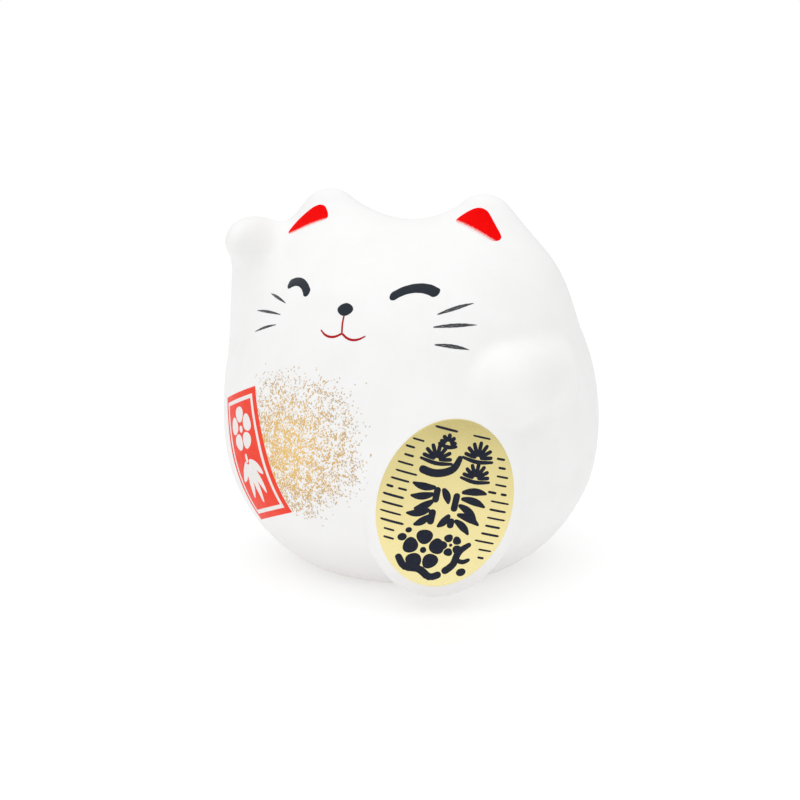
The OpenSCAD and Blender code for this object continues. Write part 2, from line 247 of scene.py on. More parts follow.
def normals(p):
    """Outward unit normals of the clay at surface points."""
    g = slope(p)
    return g / np.linalg.norm(g, axis=1)[:, None]


def hand_finish(p):
    """Height of the slight unevenness that sponging leaves on cast clay."""
    waves = [(0.21, 0.13, 0.17, 0.4), (0.11, 0.29, 0.23, 1.9),
             (0.31, 0.17, 0.09, 3.1), (0.43, 0.37, 0.31, 5.2)]
    height = sum(np.sin(a * p[:, 0] + b * p[:, 1] + c * p[:, 2] + d) for a, b, c, d in waves)
    return 0.022 * height * np.clip(p[:, 2] / 3.0, 0, 1)


# ---------------------------------------------------------------- the skin, which sets the scale
def crossed_cells(cell):
    """A point in every cell that the clay's surface crosses, and quads round every edge it cuts."""
    low = np.array([*GRID_LOW, -1.5 * cell])
    axes = [np.arange(a, b, cell) for a, b in zip(low, GRID_HIGH)]
    grid = np.stack(np.meshgrid(*axes, indexing="ij"), axis=-1)
    inside = (clay(grid.reshape(-1, 3)) < 0).reshape(grid.shape[:3])
    ends = (slice(None, -1), slice(1, None))
    corners = sum(inside[i, j, k].astype(int) for i in ends for j in ends for k in ends)
    crossed = (corners > 0) & (corners < 8)
    number = np.full(crossed.shape, -1)
    number[crossed] = np.arange(crossed.sum())
    quads = []
    for axis in range(3):
        order = (axis, (axis + 1) % 3, (axis + 2) % 3)
        edges = inside.transpose(order)[:, 1:-1, 1:-1]
        cells = number.transpose(order)
        ring = np.stack([cells[:, :-1, :-1], cells[:, 1:, :-1],
                         cells[:, 1:, 1:], cells[:, :-1, 1:]], axis=-1)
        quads.append(ring[edges[:-1] & ~edges[1:]])
        quads.append(ring[~edges[:-1] & edges[1:]][:, ::-1])
    return low + (np.argwhere(crossed) + 0.5) * cell, np.concatenate(quads)


def settle(p, rounds=3):
    """Points near the surface of the clay, moved onto it."""
    for _ in range(rounds):
        g = slope(p)
        p = p - g * (clay(p) / np.maximum((g * g).sum(axis=1), 0.01))[:, None]
    return p


def even_out(p, quads):
    """Surface points moved towards the middle of their neighbours and back onto the clay."""
    a, b = quads.ravel(), np.roll(quads, -1, axis=1).ravel()
    a, b = np.concatenate([a, b]), np.concatenate([b, a])
    count = np.bincount(a, minlength=len(p))[:, None]
    for _ in range(EVEN_ROUNDS):
        total = [np.bincount(a, weights=p[b, k], minlength=len(p)) for k in range(3)]
        p = settle(0.4 * p + 0.6 * np.stack(total, axis=1) / count, rounds=1)
    return settle(p)


def finished(p):
    """Points and normals of the finished surface over points of the bare clay."""
    n = normals(p)
    return p + n * hand_finish(p)[:, None], n


def on_skin(origins, directions):
    """Points and normals where rays meet the finished surface of the clay."""
    return finished(meet(origins, directions))


skin, skin_quads = crossed_cells(SKIN_CELL)
skin = finished(even_out(settle(skin), skin_quads))[0]
skin[:, 2] = np.maximum(skin[:, 2], 0.0)
skin_low, skin_high = skin.min(axis=0), skin.max(axis=0)
box_low, box_high = (np.array(corner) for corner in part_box("body"))
SCALE = (box_high - box_low) / (skin_high - skin_low)


def to_frame(p):
    """Millimetres of the design into metres of the frame: the skin fills the CAD body's own box."""
    return box_low + (np.asarray(p) - skin_low) * SCALE


# ---------------------------------------------------------------- meshes
def make_mesh(name, points, faces, materials, sharp_deg=40):
    """A smooth-shaded object from points in millimetres."""
    mesh = bpy.data.meshes.new(name)
    mesh.from_pydata(to_frame(points).tolist(), [], faces)
    mesh.validate()
    mesh.polygons.foreach_set("use_smooth", [True] * len(mesh.polygons))
    mesh.set_sharp_from_angle(angle=math.radians(sharp_deg))
    for material in materials:
        mesh.materials.append(material)
    piece = bpy.data.objects.new(name, mesh)
    bpy.context.scene.collection.objects.link(piece)
    return piece


def lathe(name, profile, materials, segments=128):
    """A closed turned solid. The profile runs from the axis round the outside and back."""
    inner = profile[1:-1]
    turn = [2 * math.pi * k / segments for k in range(segments)]
    points = [(r * math.cos(a), r * math.sin(a), z) for r, z in inner for a in turn]
    points += [(0, 0, profile[0][1]), (0, 0, profile[-1][1])]
    first, last = len(points) - 2, len(points) - 1
    faces = []
    for k in range(segments):
        m = (k + 1) % segments
        faces.append((first, m, k))
        end = (len(inner) - 1) * segments
        faces.append((last, end + k, end + m))
        for i in range(len(inner) - 1):
            a, b = i * segments, (i + 1) * segments
            faces.append((a + k, a + m, b + m, b + k))
    return make_mesh(name, points, faces, materials)


def arc(centre, radius, start_deg, end_deg, steps=6):
    """Points of a profile along an arc."""
    angles = np.radians(np.linspace(start_deg, end_deg, steps + 1))
    return [(centre[0] + radius * math.cos(a), centre[1] + radius * math.sin(a)) for a in angles]


def combine(piece, tool, operation):
    """An exact boolean, applied to the piece's mesh. The tool is removed."""
    step = piece.modifiers.new("combine", "BOOLEAN")
    step.operation = operation
    step.solver = "EXACT"
    step.object = tool
    step.material_mode = "TRANSFER"
    graph = bpy.context.evaluated_depsgraph_get()
    made = bpy.data.meshes.new_from_object(piece.evaluated_get(graph))
    piece.modifiers.clear()
    piece.data = made
    bpy.data.objects.remove(tool)


# ---------------------------------------------------------------- flat designs pressed on the clay
def chart(centre, turn, tilt=0.0, lean=0.0):
    """(centre, outward, rightward, upward) of a flat design, as in the CAD part."""
    t, a = math.radians(tilt), math.radians(lean)
    n = math.cos(t) * out_dir(turn) + np.array([0, 0, math.sin(t)])
    s = side_dir(turn)
    v = np.cross(s, -n)
    return np.array(centre), n, math.cos(a) * s + math.sin(a) * v, math.cos(a) * v - math.sin(a) * s


class Layer:
    """Closed patches of paint, print or foil, drawn flat and then pressed on the clay."""

    def __init__(self, where, low, high):
        self.where, self.low, self.high = where, low, high
        self.flat, self.height, self.marks, self.tops, self.walls = [], [], [], [], []

    def add(self, flat, height, faces, rims, marks=None):
        """One patch: flat points, heights from 0 to 1, top faces, and rims that run round them."""
        start = sum(len(f) for f in self.flat)
        self.flat.append(np.asarray(flat, float))
        self.height.append(np.asarray(height, float))
        self.marks.append(np.zeros((len(flat), 3)) if marks is None else np.asarray(marks, float))
        self.tops += [[start + i for i in face] for face in faces]
        for rim in rims:
            self.walls += [(start + a, start + b) for a, b in zip(rim, rim[1:] + rim[:1])]

    def build(self, name, material, slot, *nodes):
        flat, height, marks = map(np.concatenate, (self.flat, self.height, self.marks))
        centre, out, right, up = self.where
        origins = centre + flat[:, :1] * right + flat[:, 1:] * up + START_OUT * out
        p, n = on_skin(origins, np.broadcast_to(-out, origins.shape))
        count = len(flat)
        points = np.concatenate([p + n * (self.high * height)[:, None], p + n * self.low])
        faces = self.tops + [[count + i for i in reversed(face)] for face in self.tops]
        faces += [(a, count + a, count + b, b) for a, b in self.walls]
        piece = make_mesh(name, points, faces, [material], sharp_deg=75)
        store = piece.data.attributes.new("mark", "FLOAT_VECTOR", "POINT")
        store.data.foreach_set("vector", np.concatenate([marks, marks]).ravel())
        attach(piece, "figurine")
        if nodes:
            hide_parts(*nodes)
        return piece


def smooth_path(points, steps, closed=False):
    """Points at even spacing along a smooth curve through the given ones."""
    p = np.array(points, float)
    if closed:
        p = np.vstack([p[-1:], p, p[:2]])
    else:
        p = np.vstack([2 * p[0] - p[1], p, 2 * p[-1] - p[-2]])
    t = np.linspace(0, len(p) - 3, 24 * len(p))
    i = np.minimum(t.astype(int), len(p) - 4)
    u = (t - i)[:, None]
    a, b, c, d = p[i], p[i + 1], p[i + 2], p[i + 3]
    fine = 0.5 * (2 * b + (c - a) * u + (2 * a - 5 * b + 4 * c - d) * u**2
                  + (3 * b - a - 3 * c + d) * u**3)
    run = np.concatenate([[0], np.cumsum(np.linalg.norm(np.diff(fine, axis=0), axis=1))])
    share = np.linspace(0, 1, steps + 1)
    if closed:
        share = share[:-1]
    else:
        share = (1 - np.cos(math.pi * share)) / 2
    return np.stack([np.interp(share * run[-1], run, fine[:, k]) for k in (0, 1)], axis=1)


def brush(layer, points, width, start=1.0, end=1.0, rows=22, across=7, rough=0.0):
    """A brush stroke: full width in the middle, start and end times that width at its ends."""
    path = smooth_path(points, rows)
    along = np.concatenate([[0], np.cumsum(np.linalg.norm(np.diff(path, axis=0), axis=1))])
    length = along[-1]
    t = along / length
    at_end = np.where(t < 0.5, start, end)
    half = width / 2 * (at_end + (1 - at_end) * np.sin(math.pi * t))
    half *= 1 + rough * np.sin(37 * t + 5 * path[:, 0].sum())
    to_end = np.minimum(along, length - along)
    round_r = np.maximum(np.where(t < 0.5, half[0], half[-1]), 0.05)
    cap = np.sqrt(1 - (1 - np.minimum(to_end / round_r, 1)) ** 2)
    half = half * np.maximum(cap, 0.04)
    tangent = np.gradient(path, axis=0)
    tangent /= np.linalg.norm(tangent, axis=1)[:, None]
    side = np.stack([-tangent[:, 1], tangent[:, 0]], axis=1)
    place = np.sin(np.linspace(-math.pi / 2, math.pi / 2, across))
    flat = (path[:, None] + side[:, None] * (half[:, None] * place)[..., None]).reshape(-1, 2)
    dome = np.sqrt(1 - 0.85 * place**2)
    height = (np.maximum(cap, 0.3)[:, None] * dome).ravel()
    marks = np.stack(np.broadcast_arrays(along[:, None], half[:, None] * place, 0.0), axis=-1)
    m, k = len(path), across
    faces = [(i * k + j, (i + 1) * k + j, (i + 1) * k + j + 1, i * k + j + 1)
             for i in range(m - 1) for j in range(k - 1)]
    rim = [i * k for i in range(m)] + [(m - 1) * k + j for j in range(1, k)]
    rim += [i * k + k - 1 for i in range(m - 2, -1, -1)] + list(range(k - 2, 0, -1))
    layer.add(flat, height, faces, [rim], marks.reshape(-1, 3))


def patch(layer, outline, rings=10, edge=0.35, marks=None):
    """A patch inside an outline that runs anticlockwise. Its height falls off near its rim."""
    outline = np.asarray(outline, float)
    n, mid = len(outline), outline.mean(axis=0)
    reach = np.linalg.norm(outline - mid, axis=1).mean()
    share = np.sin(np.linspace(0, math.pi / 2, rings + 1))[1:]
    flat = np.vstack([mid[None], *[mid + (outline - mid) * s for s in share]])
    inside = np.concatenate([[reach], np.repeat(reach * (1 - share), n)])
    height = 0.4 + 0.6 * np.sqrt(1 - (1 - np.minimum(inside / edge, 1)) ** 2)
    faces = [(0, 1 + j, 1 + (j + 1) % n) for j in range(n)]
    for i in range(rings - 1):
        a, b = 1 + i * n, 1 + (i + 1) * n
        faces += [(a + j, b + j, b + (j + 1) % n, a + (j + 1) % n) for j in range(n)]
    last = 1 + (rings - 1) * n
    rim = [last + j for j in range(n)]
    layer.add(flat, height, faces, [rim], None if marks is None else marks(flat))


def oval(centre, rx, ry, n=48, spin=0.0):
    a = np.linspace(0, 2 * math.pi, n, endpoint=False)
    return np.array(centre) + turned(np.stack([rx * np.cos(a), ry * np.sin(a)], axis=1), spin)


def turned(p, degrees):
    a = math.radians(degrees)
    p = np.asarray(p, float)
    return np.stack([p[..., 0] * math.cos(a) - p[..., 1] * math.sin(a),
                     p[..., 0] * math.sin(a) + p[..., 1] * math.cos(a)], axis=-1)


# ---------------------------------------------------------------- materials
class Surface:
    """A node material whose details are sized in millimetres on the object itself."""

    def __init__(self, name, roughness=0.6, metallic=0.0, specular=0.5):
        self.material = bpy.data.materials.new(name)
        self.material.use_nodes = True
        self.tree = self.material.node_tree
        self.shader = self.tree.nodes["Principled BSDF"]
        self.shader.inputs["Roughness"].default_value = roughness
        self.shader.inputs["Metallic"].default_value = metallic
        self.shader.inputs["Specular IOR Level"].default_value = specular
        self.place = self.node("ShaderNodeTexCoord").outputs["Object"]

    def node(self, kind, **settings):
        made = self.tree.nodes.new(kind)
        for key, value in settings.items():
            setattr(made, key, value)
        return made

    def wire(self, source, target):
        self.tree.links.new(source, target)

    def to(self, socket, source):
        self.wire(source, self.shader.inputs[socket])

    def noise(self, size_mm, detail=3.0, roughness=0.55, where=None, stretch=None):
        """Noise from 0 to 1. Its features have the given size, divided by stretch on each axis."""
        made = self.node("ShaderNodeTexNoise")
        made.inputs["Scale"].default_value = 1.0 / (size_mm * MM)
        made.inputs["Detail"].default_value = detail
        made.inputs["Roughness"].default_value = roughness
        source = self.place if where is None else where
        if stretch is not None:
            scale = self.node("ShaderNodeVectorMath", operation="MULTIPLY")
            scale.inputs[1].default_value = stretch
            self.wire(source, scale.inputs[0])
            source = scale.outputs[0]
        self.wire(source, made.inputs["Vector"])
        return made.outputs["Fac"]

    def ramp(self, value, *stops):
        """Colours between stops of (position, colour)."""
        made = self.node("ShaderNodeValToRGB")
        points = made.color_ramp.elements
        while len(points) < len(stops):
            points.new(0.5)
        for point, (position, color) in zip(points, stops):
            point.position = position
            point.color = (*color, 1.0)
        self.wire(value, made.inputs["Fac"])
        return made.outputs["Color"]

    def span(self, value, low, high, to_low=0.0, to_high=1.0):
        """Value from low to high, remapped to another span and held at its ends."""
        made = self.node("ShaderNodeMapRange")
        ends = {"From Min": low, "From Max": high, "To Min": to_low, "To Max": to_high}
        for name, number in ends.items():
            made.inputs[name].default_value = number
        self.wire(value, made.inputs["Value"])
        return made.outputs["Result"]

    def math(self, operation, a, b):
        made = self.node("ShaderNodeMath", operation=operation)
        for socket, value in zip(made.inputs, (a, b)):
            if isinstance(value, (int, float)):
                socket.default_value = value
            else:
                self.wire(value, socket)
        return made.outputs[0]

    def mix(self, share, a, b):
        """A colour from a to b. Either may be a colour or a socket."""
        made = self.node("ShaderNodeMix", data_type="RGBA")
        self.wire(share, made.inputs["Factor"])
        for socket, value in zip((made.inputs[6], made.inputs[7]), (a, b)):
            if isinstance(value, tuple):
                socket.default_value = (*value, 1.0)
            else:
                self.wire(value, socket)
        return made.outputs[2]

    def xyz(self, source):
        made = self.node("ShaderNodeSeparateXYZ")
        self.wire(source, made.inputs[0])
        return made.outputs

    def mark(self):
        """The value that brush() and patch() stored: along, across and depth in millimetres."""
        return self.node("ShaderNodeAttribute", attribute_name="mark").outputs["Vector"]

    def bumps(self, *layers):
        """Relief from layers of (height socket, height in millimetres)."""
        normal = None
        for height, depth_mm in layers:
            made = self.node("ShaderNodeBump")
            made.inputs["Distance"].default_value = depth_mm * MM
            self.wire(height, made.inputs["Height"])
            if normal is not None:
                self.wire(normal, made.inputs["Normal"])
            normal = made.outputs["Normal"]
        self.to("Normal", normal)


def bisque_paint():
    """Cold-painted white over fine clay, worn to bare clay at the very edge of the foot, and greyed
    by painted shade towards the foot.
    """
    s = Surface("bisque_paint", roughness=0.62)
    tone = s.ramp(s.noise(9, detail=5), (0.3, (0.895, 0.893, 0.888)), (0.7, (0.92, 0.92, 0.918)))
    pores = s.span(s.noise(0.35, detail=2), 0.67, 0.76)
    tone = s.mix(pores, tone, (0.83, 0.825, 0.81))
    height = s.xyz(s.place)[2]
    # painted shade near the floor: the ragged height named thin greys the white over the lowest 15
    # mm, fully at the floor, where the floor's contact shade falls
    thin = s.math("ADD", height, s.span(s.noise(8), 0, 1, -0.001, 0.001))
    tone = s.mix(s.span(thin, 0.001, 0.015, 1, 0), tone, (0.81, 0.785, 0.775))
    ragged = s.math("ADD", height, s.span(s.noise(1.4), 0, 1, -0.0004, 0.0004))
    tone = s.mix(s.span(ragged, 0.0002, 0.0007, 1, 0), tone, (0.78, 0.72, 0.63))
    s.to("Base Color", tone)
    s.to("Roughness", s.span(s.noise(2.2, detail=4), 0.3, 0.7, 0.56, 0.68))
    s.bumps((s.noise(0.22, detail=3), 0.012), (s.noise(3.2, detail=2), 0.03))
    return s.material


def bare_clay():
    """Unpainted, unglazed clay inside the hollow and under the foot."""
    s = Surface("bare_clay", roughness=0.85)
    tone = s.ramp(s.noise(5, detail=6), (0.25, (0.70, 0.63, 0.53)), (0.75, (0.80, 0.74, 0.65)))
    grit = s.span(s.noise(0.3, detail=2), 0.66, 0.74)
    s.to("Base Color", s.mix(grit, tone, (0.5, 0.42, 0.33)))
    s.bumps((s.noise(0.3, detail=4), 0.05), (s.noise(4, detail=2), 0.1))
    return s.material


def gold_foil(label):
    """Satin gold foil with a fine sheet grain, darker towards the coin's top and brighter towards
    its foot as painted shade and painted reflection.
    """
    s = Surface("gold_foil", roughness=0.4, metallic=0.55)
    low, high = (corner.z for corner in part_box(label))
    # painted shade and painted reflection: the foil's colour runs from bright at the coin's foot to
    # dark at its top
    height = s.span(s.xyz(s.place)[2], low, high)
    height = s.math("ADD", height, s.span(s.noise(6, detail=4), 0, 1, -0.08, 0.08))
    tone = s.ramp(height, (0.0, (0.99, 0.88, 0.46)), (0.45, (0.91, 0.785, 0.375)),
                  (0.8, (0.77, 0.665, 0.285)), (1.0, (0.625, 0.52, 0.2)))
    grain = s.noise(0.16, detail=2)
    tone = s.mix(s.span(grain, 0.4, 0.8), tone, (0.81, 0.715, 0.34))
    s.to("Base Color", tone)
    s.to("Roughness", s.span(s.noise(0.5, detail=3), 0.3, 0.7, 0.34, 0.5))
    s.bumps((grain, 0.008), (s.noise(1.5), 0.012))
    return s.material


def print_ink(name, dark, light, roughness=0.5, mottle_mm=0.6, relief_mm=0.01, specular=0.15):
    """Screen-printed or painted colour with a slightly uneven film."""
    s = Surface(name, roughness=roughness, specular=specular)
    film = s.noise(mottle_mm, detail=4)
    s.to("Base Color", s.ramp(film, (0.3, dark), (0.7, light)))
    s.to("Roughness", s.span(s.noise(1.1, detail=3), 0.3, 0.7, roughness - 0.08, roughness + 0.1))
    s.bumps((s.noise(0.2, detail=2), relief_mm))
    return s.material


def brush_paint(name, dark, light, thin, streak=0.6, roughness=0.42):
    """Hand-brushed enamel: bristle streaks along each stroke, thinner colour in a few of them."""
    s = Surface(name, roughness=roughness, specular=0.12)
    bristles = s.noise(0.12, detail=3, where=s.mark(), stretch=(0.1 * MM, MM, MM))
    body = s.ramp(bristles, (0.35, dark), (0.7, light))
    dry = s.span(bristles, streak, streak + 0.12)
    s.to("Base Color", s.mix(dry, body, thin))
    s.to("Roughness", s.span(bristles, 0.3, 0.7, roughness - 0.08, roughness + 0.12))
    s.bumps((bristles, 0.02))
    return s.material


def ear_enamel():
    """Bright red enamel, airbrushed out to the white clay along its lower edge."""
    s = Surface("ear_enamel", roughness=0.4, specular=0.03)
    red = s.ramp(s.noise(1.2, detail=4), (0.3, (0.84, 0.0, 0.0)), (0.7, (0.92, 0.001, 0.001)))
    depth = s.math("ADD", s.xyz(s.mark())[2], s.span(s.noise(0.35, detail=3), 0, 1, -0.35, 0.35))
    s.to("Base Color", s.mix(s.span(depth, -0.1, 0.75), (0.9, 0.87, 0.865), red))
    s.to("Roughness", s.span(s.noise(0.9), 0.3, 0.7, 0.33, 0.48))
    s.bumps((s.noise(0.25, detail=2), 0.008))
    return s.material


def gold_dust():
    """Spattered gold paint: bright in the thick, browner and greyer in the fine outer specks."""
    s = Surface("gold_dust", roughness=0.5, metallic=0.1, specular=0.2)
    shade = s.math("ADD", s.xyz(s.mark())[2], s.span(s.noise(0.8), 0, 1, -0.15, 0.15))
    s.to("Base Color", s.ramp(shade, (0.0, (0.86, 0.57, 0.18)), (0.45, (0.76, 0.49, 0.16)),
                              (0.75, (0.66, 0.44, 0.19)), (1.0, (0.6, 0.45, 0.29))))
    s.bumps((s.noise(0.15), 0.01))
    return s.material


def soft_vinyl():
    """Milky, slightly see-through soft vinyl."""
    s = Surface("soft_vinyl_milky", roughness=0.36)
    cloud = s.noise(3, detail=3)
    s.to("Base Color", s.ramp(cloud, (0.3, (0.74, 0.73, 0.68)), (0.7, (0.8, 0.79, 0.74))))
    s.shader.inputs["Subsurface Weight"].default_value = 0.35
    s.shader.inputs["Subsurface Scale"].default_value = 1.2 * MM
    s.shader.inputs["Coat Weight"].default_value = 0.15
    s.to("Roughness", s.span(s.noise(1.6), 0.3, 0.7, 0.3, 0.44))
    s.bumps((s.noise(0.3), 0.01), (s.noise(2.5), 0.03))
    return s.material


# ---------------------------------------------------------------- the clay body and its plug
def cavity_r(z):
    """Radius of the hollow inside the body at height z."""
    rise = z - WAIST_Z
    reach = (CROWN_RISE if rise > 0 else BELLY_DROP) - WALL
    n = CROWN_FULLNESS if rise > 0 else BELLY_FULLNESS
    return (BODY_HALF_D - WALL) * max(1 - (abs(rise) / reach) ** n, 0) ** (1 / n)


def foot_cutter(clay_inside):
    """Everything missing from the solid body: the foot's recess, the pour hole and the hollow."""
    soft = 0.5
    top = WAIST_Z + CROWN_RISE - WALL
    profile = [(0, -2), (FOOT_HOLLOW_R + soft, -2), (FOOT_HOLLOW_R + soft, 0)]
    profile += arc((FOOT_HOLLOW_R + soft, soft), soft, 270, 180)
    profile += [(FOOT_HOLLOW_R, FOOT_HOLLOW_H - 0.2), (FOOT_HOLLOW_R - 0.2, FOOT_HOLLOW_H)]
    profile += [(SEAT_R + 0.3, FOOT_HOLLOW_H), (SEAT_R, FOOT_HOLLOW_H + 0.3), (SEAT_R, SEAT_H)]
    profile += [(HOLE_R, SEAT_H), (HOLE_R, FLOOR_Z - 0.6)]
    profile += arc((HOLE_R + 0.6, FLOOR_Z - 0.6), 0.6, 180, 90)
    for share in np.sin(np.linspace(0, math.pi / 2, 26)[:-1]):
        z = FLOOR_Z + (top - FLOOR_Z) * share
        profile.append((cavity_r(z), z))
    return lathe("foot_cutter", profile + [(0, top)], [clay_inside])


def make_body():
    clay_outside, clay_inside = bisque_paint(), bare_clay()
    body = make_mesh("cat_body", skin, skin_quads.tolist(), [clay_outside, clay_inside])
    combine(body, foot_cutter(clay_inside), "DIFFERENCE")
    body.data.set_sharp_from_angle(angle=math.radians(35))
    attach(body, "figurine")
    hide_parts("body")


def make_stopper():
    """A soft plug with a thin flange and a bar across its well to pull it by."""
    play, bead = 0.05, 0.35
    low, high = 1.2, SEAT_H - 0.05
    stem_r, stem_top = HOLE_R - play, FLOOR_Z + 2.5
    flange_r, well_r, well_top, nose = SEAT_R - 0.4, 4.6, 6.0, 1.8
    vinyl = soft_vinyl()
    profile = [(0, well_top), (well_r - bead, well_top)]
    profile += arc((well_r - bead, well_top - bead), bead, 90, 0)
    profile += arc((well_r + bead, low + bead), bead, 180, 270)
    profile += [(flange_r - 2.2, low), (flange_r - 1.9, low + 0.2), (flange_r - 1.5, low + 0.2)]
    profile += [(flange_r - 1.2, low)] + arc((flange_r - bead, low + bead), bead, 270, 360)
    profile += [(flange_r, high - 0.1), (flange_r - 0.1, high), (stem_r + 0.1, high)]
    profile += [(stem_r - 0.1, high + 0.15), (stem_r - 0.1, high + 0.7), (stem_r, high + 0.9)]
    profile += [(stem_r, stem_top - nose)]
    profile += arc((stem_r - nose, stem_top - nose), nose, 0, 90)
    plug = lathe("plug", profile + [(0, stem_top)], [vinyl])
    bar_y, bar_low, bar_high, corner, steps = 0.6, low + 0.3, low + 1.5, 0.3, 18
    corners = (((bar_y, bar_low), -90), ((bar_y, bar_high), 0),
               ((-bar_y, bar_high), 90), ((-bar_y, bar_low), 180))
    across = [point for at, turn in corners for point in arc(at, corner, turn, turn + 90, 3)]
    points = [(x, y, z + 0.05 + 0.25 * max(1 - (x / well_r) ** 2, 0))
              for x in np.linspace(-well_r - 0.8, well_r + 0.8, steps + 1) for y, z in across]
    count = len(across)
    around = [(j, (j + 1) % count) for j in range(count)]
    faces = [(i * count + j, (i + 1) * count + j, (i + 1) * count + k, i * count + k)
             for i in range(steps) for j, k in around]
    faces += [tuple(range(count)), tuple(steps * count + j for j in reversed(range(count)))]
    faces = [tuple(reversed(face)) for face in faces]
    bar = make_mesh("pull_bar", points, faces, [vinyl])
    combine(plug, bar, "UNION")
    plug.data.set_sharp_from_angle(angle=math.radians(35))
    plug.name = "pour_hole_plug"
    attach(plug, "stopper")
    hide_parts("base_stopper")


# ---------------------------------------------------------------- motifs of brush strokes
def blossom(layer, at, size, spin=0.0, gap=0.16):
    """A plum blossom: five round petals that leave a thin gap between them, round a dot."""
    at = np.array(at)
    for k in range(5):
        turn = spin + 72 * k
        middle = at + turned((0, 0.62 * size), turn)
        lobes = np.sin(3 * np.linspace(0, 2 * math.pi, 28, endpoint=False))
        petal = oval((0, 0), 0.42 * size, 0.38 * size, 28)
        petal *= (1 - gap) * (1 + 0.05 * lobes)[:, None]
        patch(layer, middle + turned(petal, turn), rings=4)
    patch(layer, oval(at, 0.16 * size, 0.16 * size, 20), rings=3)


def leaf(layer, root, tip, width, bow=0.06):
    """A narrow bamboo leaf, fullest near its root and drawn out to its tip."""
    root, tip = np.array(root, float), np.array(tip, float)
    along = tip - root
    side = np.array([-along[1], along[0]]) * bow
    spine = [root, root + 0.35 * along + side, root + 0.7 * along + side, tip]
    brush(layer, spine, width, 0.35, 0.2)


def needles(layer, root, length, spread=78, count=7, width=1.2):
    """A pine bough: a fan of needles over a short flat twig."""
    root = np.array(root, float)
    for angle in np.linspace(spread, -spread, count):
        reach = length * (1 - 0.12 * abs(angle) / spread)
        ends = [root + turned((0, far), angle) for far in (0.3, reach)]
        brush(layer, ends, width, 0.5, 0.95, rows=10)
    half = np.array([0.95 * length, 0])
    twig = [root - half - (0, 0.2), root - (0, 0.75), root + half - (0, 0.2)]
    brush(layer, twig, 1.25, 0.6, 0.6, rows=14)


def pine(layer):
    brush(layer, [(-8.2, 6.9), (-4.2, 6.4), (-0.7, 8.0), (0.5, 11.4)], 2.4, 1.0, 0.6)
    needles(layer, (-4.6, 9.3), 4.0)
    needles(layer, (4.2, 11.3), 4.0)
    needles(layer, (4.7, 6.9), 3.8)
    needles(layer, (-3.0, 13.2), 2.4, count=5, width=1.25)


def bamboo(layer):
    for x, cuts in ((-2.6, (-5.3, -1.1, -0.3, 3.9)), (1.9, (-5.3, -2.3, -1.5, 3.4))):
        brush(layer, [(x, cuts[0]), (x - 0.1, cuts[1])], 2.1, 1.1, 1.1, rows=14)
        brush(layer, [(x - 0.1, cuts[2]), (x - 0.25, cuts[3])], 2.0, 1.1, 1.0, rows=14)
    left = (((-3.1, 3.4), (-8.6, 3.5)), ((-3.2, 2.0), (-8.4, 0.6)), ((-3.0, 0.6), (-7.0, -2.2)),
            ((-3.2, -1.6), (-8.4, -3.4)), ((-3.0, -2.8), (-6.2, -5.7)), ((-1.8, 3.6), (0.3, 0.2)))
    right = (((2.4, 3.3), (8.2, 4.0)), ((2.6, 2.0), (8.5, 1.0)), ((2.4, 0.6), (7.2, -2.2)),
             ((2.6, -1.6), (8.2, -3.2)), ((2.4, -2.9), (6.4, -5.7)), ((1.2, -1.8), (-1.0, -5.2)))
    for root, tip in left + right:
        leaf(layer, root, tip, 2.3)


def plum(layer):
    bough = [(-8.0, -12.6), (-5.6, -15.3), (-2.4, -15.2), (0.4, -16.6), (3.0, -15.2)]
    brush(layer, bough, 2.4, 0.8, 0.95)
    brush(layer, [(2.6, -15.4), (4.7, -12.9), (5.3, -9.8), (7.6, -7.3)], 2.2, 1.1, 0.6)
    brush(layer, [(4.9, -11.6), (6.7, -11.9), (8.3, -10.9)], 1.5, 0.9, 0.6, rows=12)
    blossom(layer, (-2.6, -10.8), 4.9, 8, gap=0.07)
    blossom(layer, (3.1, -8.6), 2.7, 30, gap=0.07)
    for at, size in (((7.0, -14.3), 1.2), ((-7.8, -8.8), 1.1), ((-6.8, -7.0), 0.8)):
        patch(layer, oval(at, size, 0.85 * size, 20, 25), rings=3)


# ---------------------------------------------------------------- painted and printed pieces
COIN = chart(LABEL_SHIFT * side_dir(KOBAN_TURN) + [0, 0, LABEL_Z], KOBAN_TURN, 0, -KOBAN_LEAN)
TAG = chart((0, 0, TAG_Z), TAG_TURN, 0, TAG_LEAN)
FACE = chart((0, 0, 0), FACE_TURN)
EAR_FRONT = chart((0, -9, 83), FACE_TURN, 40)
TAG_DISTANCE = float(on_skin((TAG[0] + START_OUT * TAG[1])[None], -TAG[1][None])[0][0] @ TAG[1])


